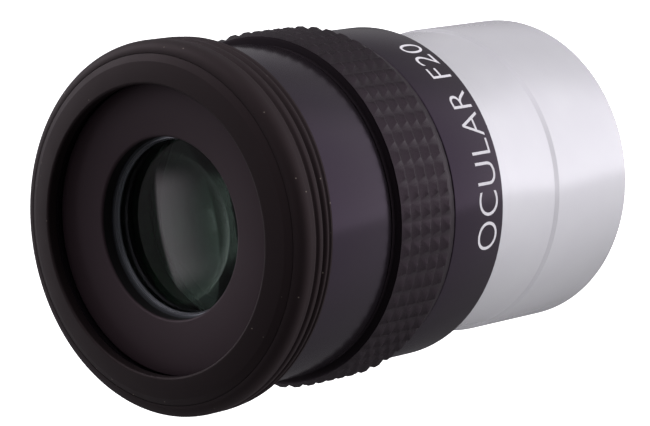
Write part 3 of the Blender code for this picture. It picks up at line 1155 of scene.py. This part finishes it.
@dataclass
class LensGroup:
    """Lens cell with its recessed face, pale seat ring, two cemented pairs and the rings that hold them."""

    aperture: float = 8.85 * MM
    aperture_depth: float = 1.4 * MM
    flange: float = 1.8 * MM
    tube: float = 11.8 * MM
    bore: float = 9.5 * MM
    land: float = 13.7 * MM
    lens_r: float = 9.2 * MM
    outer_surface: float = 60 * MM
    inner_surface: float = 24 * MM
    lens_rings: int = 28
    edge_band: float = 0.02 * MM
    land_length: float = 7.0 * MM
    thread_step: float = 0.7 * MM
    play: float = 0.1 * MM
    # How far below the face the cell turns to matte black paint.
    face_depth: float = 0.35 * MM
    seat_width: float = 0.78 * MM
    seat_slope: float = 0.14 * MM

    def build(
        self,
        black: Material,
        inside: Material,
        pale: Material,
        glass: Material,
        inner_glass: Material,
        rings: Sequence[bpy.types.Object],
    ) -> None:
        """Build the cell, the seat ring and the lenses, and dress the CAD's rings between them.

        Args:
            black: The finish of the cell.
            inside: The finish of its bore, of the rings and of the lenses' edges.
            pale: The finish of the seat ring.
            glass: The finish of each pair's outer surface.
            inner_glass: The finish of its inner surface.
            rings: The CAD's own rings.
        """
        self.build_cell(black, inside)
        self.build_seat_ring(pale)
        for place, up in (("eye", 1.0), ("field", -1.0)):
            nodes = (f"{place}_lens_flint", f"{place}_lens_crown")
            self.build_doublet(f"{place}_doublet", nodes, up, (glass, inner_glass, inside))
        for ring in rings:
            dress(ring, inside)

    def build_cell(self, black: Material, inside: Material) -> None:
        """Build the cell: the wide face round the eye lens, and the tube that the lenses drop into.

        Args:
            black: The finish outside.
            inside: The finish of the bore.
        """
        cad = Span.of("lens_cell")
        shoulder, under = cad.top - self.aperture_depth, cad.top - self.flange
        thread_top = Span.of("lens_retaining_ring").top + 0.4 * MM
        stop = Span.of("field_stop_ring")
        stop_bore, thread_bore = stop.radius + self.play, self.lens_r + self.thread_step
        outline = rounded([
            (self.aperture, cad.top, 0.28 * MM),
            (cad.radius, cad.top, 0.12 * MM),
            (cad.radius, under),
            (self.land, under),
            (self.land, under - self.land_length),
            (self.tube, under - self.land_length),
            (self.tube, cad.bottom),
            (stop_bore, cad.bottom),
            (stop_bore, stop.top + self.play),
            (thread_bore, stop.top + self.play),
            (thread_bore, thread_top),
            (self.bore, thread_top),
            (self.bore, shoulder),
            (self.aperture, shoulder),
        ])
        piece = lathe("lens_cell_body", outline)
        dress(piece, black, inside)
        inner, painted = cad.radius - 1 * MM, cad.top - self.face_depth
        dress_where(piece, 1, lambda c: math.hypot(c.x, c.y) < inner and c.z < painted)
        ride(piece, Slot.CELL, "lens_cell")

    def build_seat_ring(self, pale: Material) -> None:
        """Build the thin pale ring that the eye lens seats against.

        Args:
            pale: The finish.
        """
        cad = Span.of("eye_lens_seat_ring")
        bore = cad.radius - self.seat_width
        outline = rounded([
            (bore + self.seat_slope, cad.top),
            (cad.radius, cad.top),
            (cad.radius, cad.bottom),
            (bore, cad.bottom),
            (bore, cad.bottom + 0.15 * MM, 0.08 * MM),
        ])
        piece = lathe("eye_lens_seat", outline)
        dress(piece, pale)
        ride(piece, Slot.SEAT, "eye_lens_seat_ring")

    def build_doublet(
        self,
        name: str,
        nodes: tuple[str, str],
        up: float,
        finishes: tuple[Material, Material, Material],
    ) -> None:
        """Build a cemented pair as one piece of glass with a blackened edge.

        Args:
            name: The piece's name.
            nodes: CAD nodes of the flint and the crown.
            up: 1 where the flint faces the eye, and -1 where it faces the field.
            finishes: The glass of the outer surface, that of the inner one and the paint on the ground edge.
        """
        spans = [Span.of(node) for node in nodes]
        top, bottom = max(span.top for span in spans), min(span.bottom for span in spans)
        upper = self.outer_surface if up > 0 else self.inner_surface
        lower = self.inner_surface if up > 0 else self.outer_surface
        quarter = math.pi / 2 / self.lens_rings
        radii = [self.lens_r * math.sin(quarter * i) for i in range(self.lens_rings + 1)]
        outline = [(r, top - self.sag(upper, r)) for r in radii]
        outline += [(r, bottom + self.sag(lower, r)) for r in reversed(radii)]
        piece = lathe(name, outline)
        dress(piece, *finishes)
        rim, middle = self.lens_r - self.edge_band, (top + bottom) / 2
        dress_where(piece, 1, lambda c: (c.z - middle) * up < 0)
        dress_where(piece, 2, lambda c: math.hypot(c.x, c.y) > rim)
        ride(piece, Slot.GLASS, *nodes)

    @staticmethod
    def sag(surface: float, r: float) -> float:
        """Return how far a spherical surface has dropped at a radius."""
        return surface - math.sqrt(surface**2 - r**2)


@dataclass
class Studio:
    """Pale floor, soft light from all round and the camera."""

    floor_half: float = 3.0
    floor_glow: float = 1.25
    floor_drop: float = 0.1 * MM
    elevation: float = math.radians(48.569)
    distance: float = 359.6 * MM
    aim_x: float = -1.235 * MM
    aim_z: float = 29.95 * MM
    roll: float = math.radians(100.42)
    lens: float = 198.14
    sensor: float = 36.0
    clip: tuple[float, float] = (0.01, 10.0)
    light: str = "#FDF9FF"
    # Brightness below the horizon by compass degrees from -Y towards -X, and above it by elevation.
    low_levels: Levels = (
        (-180, 0.10), (-150, 0.25), (-130, 0.30), (-100, 0.29), (-70, 0.46), (-45, 0.84), (20, 1.10),
        (23, 0.62), (50, 0.48), (80, 0.28), (110, 0.15), (140, 0.10), (180, 0.09),
    )
    behind_levels: Levels = ((0, 0.9), (22, 1.0), (27, 0.6), (33, 0.12), (67, 0.10), (76, 0.55), (90, 0.65))
    front_levels: Levels = ((0, 0.15), (30, 0.07), (60, 0.16), (76, 0.55), (90, 0.65))
    wall_glow: float = 0.5
    # Elevation, in degrees, of the window's sill, of its brightest line and of its head.
    window_edges: tuple[float, float, float] = (39.8, 41.0, 55.0)
    window_half: float = 0.17
    window_fade: float = 0.07
    window_glow: float = 1.25

    def build(self) -> None:
        """Set up the floor, the light and the camera."""
        self.build_floor()
        self.build_light()
        self.build_camera()

    def build_floor(self) -> None:
        """Lay a glowing pale table under the eyepiece; it lights without being mirrored."""
        half = self.floor_half
        mesh = bpy.data.meshes.new("light_table")
        corners = [(-half, -half, 0), (half, -half, 0), (half, half, 0), (-half, half, 0)]
        mesh.from_pydata(corners, [], [(0, 1, 2, 3)])
        floor = bpy.data.objects.new("light_table", mesh)
        bpy.context.scene.collection.objects.link(floor)
        paint = Paint("white_acrylic_light_table")
        paint.set(
            Base_Color=colour("#F4F4F6"),
            Roughness=0.6,
            Emission_Color=colour("#FFFFFF"),
            Emission_Strength=self.floor_glow,
        )
        floor.data.materials.append(paint.material)
        floor.visible_glossy = False
        floor.location.z = -self.floor_drop

    def build_light(self) -> None:
        """Light the room: a glow from below that varies round the compass, a backdrop, a wall, a window."""
        world = bpy.data.worlds.new("soft_studio")
        bpy.context.scene.world = world
        world.use_nodes = True
        world.node_tree.nodes.clear()
        add = partial(add_node, world.node_tree)
        direction = add("ShaderNodeTexCoord", output="Generated")
        x, y, z = add("ShaderNodeSeparateXYZ", {0: direction}).node.outputs
        low = self.low_light(add, x, y)
        # Above the horizon, up to the zenith: a pale backdrop behind and a dim side towards the viewer.
        behind, front = (
            self.brightness(add, z, [(math.sin(math.radians(degrees)), level) for degrees, level in levels])
            for levels in (self.behind_levels, self.front_levels)
        )
        side = add("ShaderNodeMapRange", {"Value": y, "From Min": -0.25, "From Max": 0.25})
        # The room's brighter wall is on the +X side.
        lean = {"Value": x, "From Min": -0.3, "From Max": 0.3, "To Min": 0.4, "To Max": 1.7}
        tilted = add("ShaderNodeMath", {0: behind, 1: add("ShaderNodeMapRange", lean)}, operation="MULTIPLY")
        lit = {"Value": x, "From Min": 0.2, "From Max": 0.5, "To Max": self.wall_glow}
        wall = add("ShaderNodeMapRange", lit, interpolation_type="SMOOTHSTEP")
        upper = add("ShaderNodeMath", {0: add("ShaderNodeMix", {0: side, 2: front, 3: tilted}), 1: wall})
        level = add("ShaderNodeMapRange", {"Value": z, "From Min": -0.2, "From Max": 0.02})
        room = add("ShaderNodeMix", {0: level, 2: low, 3: upper})
        total = add("ShaderNodeMath", {0: room, 1: self.window(add, x, y, z)})
        glow = add("ShaderNodeBackground", {"Color": colour(self.light), "Strength": total})
        add("ShaderNodeOutputWorld", {0: glow})

    def low_light(self, add: Callable[..., Any], x: Any, y: Any) -> bpy.types.NodeSocket:
        """Return the brightness below the horizon, which changes round the compass.

        Args:
            add: Adds a node to the world's tree.
            x: Direction's part along X.
            y: Direction's part along Y.

        Returns:
            The brightness; -Y is at the middle of its levels and -X a quarter of a turn further on.
        """
        turned = [add("ShaderNodeMath", {0: part, 1: -1.0}, operation="MULTIPLY") for part in (x, y)]
        around = add("ShaderNodeMath", {0: turned[0], 1: turned[1]}, operation="ARCTAN2")
        turns = add("ShaderNodeMath", {0: around, 1: math.tau}, operation="DIVIDE")
        share = add("ShaderNodeMath", {0: turns, 1: 0.5})
        stops = [((degrees + 180) / 360, level) for degrees, level in self.low_levels]
        return self.brightness(add, share, stops)

    def window(self, add: Callable[..., Any], x: Any, y: Any, z: Any) -> bpy.types.NodeSocket:
        """Return the glow of a high window behind the eyepiece, which the eye lens mirrors.

        Args:
            add: Adds a node to the world's tree.
            x: Direction's part along X.
            y: Direction's part along Y.
            z: Direction's height.

        Returns:
            The brightness: crisp at the sill, and fading upwards and to both sides.
        """
        sill, bright, head = (math.sin(math.radians(degrees)) for degrees in self.window_edges)
        across = add("ShaderNodeMath", {0: x}, operation="ABSOLUTE")
        glow: Any = self.window_glow
        for value, start, end in (
            (z, sill, bright),
            (z, head, bright),
            (across, self.window_half, self.window_half - self.window_fade),
            (y, 0.0, 0.1),
        ):
            edge = {"Value": value, "From Min": start, "From Max": end}
            share = add("ShaderNodeMapRange", edge, interpolation_type="SMOOTHSTEP")
            glow = add("ShaderNodeMath", {0: glow, 1: share}, operation="MULTIPLY")
        return glow

    @staticmethod
    def brightness(add: Callable[..., Any], value: Any, stops: Sequence[tuple[float, float]]) -> Any:
        """Return a brightness that changes along a value.

        Args:
            add: Adds a node to the world's tree.
            value: What it changes along, from 0 to 1.
            stops: Places from 0 to 1, each with its brightness.

        Returns:
            The brightness.
        """
        peak = max(stop[1] for stop in stops)
        ramp = add("ShaderNodeValToRGB", {0: value})
        points = ramp.node.color_ramp.elements
        while len(points) < len(stops):
            points.new(0.5)
        for point, (place, level) in zip(points, stops):
            point.position = place
            point.color = (level / peak,) * 3 + (1.0,)
        return add("ShaderNodeMath", {0: ramp, 1: peak}, operation="MULTIPLY")

    def build_camera(self) -> None:
        """Place the camera above the side of the eyepiece, rolled so that the eye end is on the left."""
        camera = bpy.data.objects.new("camera", bpy.data.cameras.new("camera"))
        bpy.context.scene.collection.objects.link(camera)
        camera.data.sensor_width = self.sensor
        camera.data.lens = self.lens
        camera.data.clip_start, camera.data.clip_end = self.clip
        back = Vector((0, -math.cos(self.elevation), math.sin(self.elevation)))
        camera.location = Vector((self.aim_x, 0, self.aim_z)) + back * self.distance
        camera.rotation_mode = "QUATERNION"
        level = (-back).to_track_quat("-Z", "Y")
        camera.rotation_quaternion = level @ Quaternion((0, 0, 1), -self.roll)
        bpy.context.scene.camera = camera
        bpy.context.scene.view_settings.view_transform = "Standard"


def main() -> None:
    """Build every sub-assembly of the eyepiece, then the studio."""
    logging.basicConfig(level=logging.INFO, format="%(message)s")
    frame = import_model()
    chrome = SatinChrome().build()
    anodised = BlackAnodising().build()
    cell_black = CellBlack().build()
    inside = MatteBlackPaint().build()
    grip = MouldedRubber(
        "moulded_grip_rubber",
        "#141013",
        "#1F191D",
        # The grip's front step wall lies inside this reach and keeps the darker colour as painted shade; the
        # studded face outside it is lighter where fingers rub it.
        wear_and_shade_reach=(17.0 * MM, 17.25 * MM),
        roughness=(0.68, 0.78),
        polish=0.46,
        gloss=0.38,
        gloss_tint="#FFE4FA",
    )
    cup = MouldedRubber("moulded_eyecup_rubber", "#181314", "#221B1D", (17.9 * MM, 18.2 * MM), dust=0.7)
    Barrel().build(chrome, inside)
    Housing().build(anodised, inside, PrintedInk().build())
    GripRing().build(grip.build())
    glass = CoatedGlass("coated_optical_glass", coating="#DFD6DA").build()
    inner_glass = CoatedGlass("green_coated_optical_glass", coating="#1E4A2B").build()
    rings = [frame["nodes"][name] for name in ("lens_spacer_ring", "lens_retaining_ring", "field_stop_ring")]
    LensGroup().build(cell_black, inside, SatinAluminium().build(), glass, inner_glass, rings)
    Eyecup().build(cup.build())
    Studio().build()


if __name__ == "__main__":
    main()
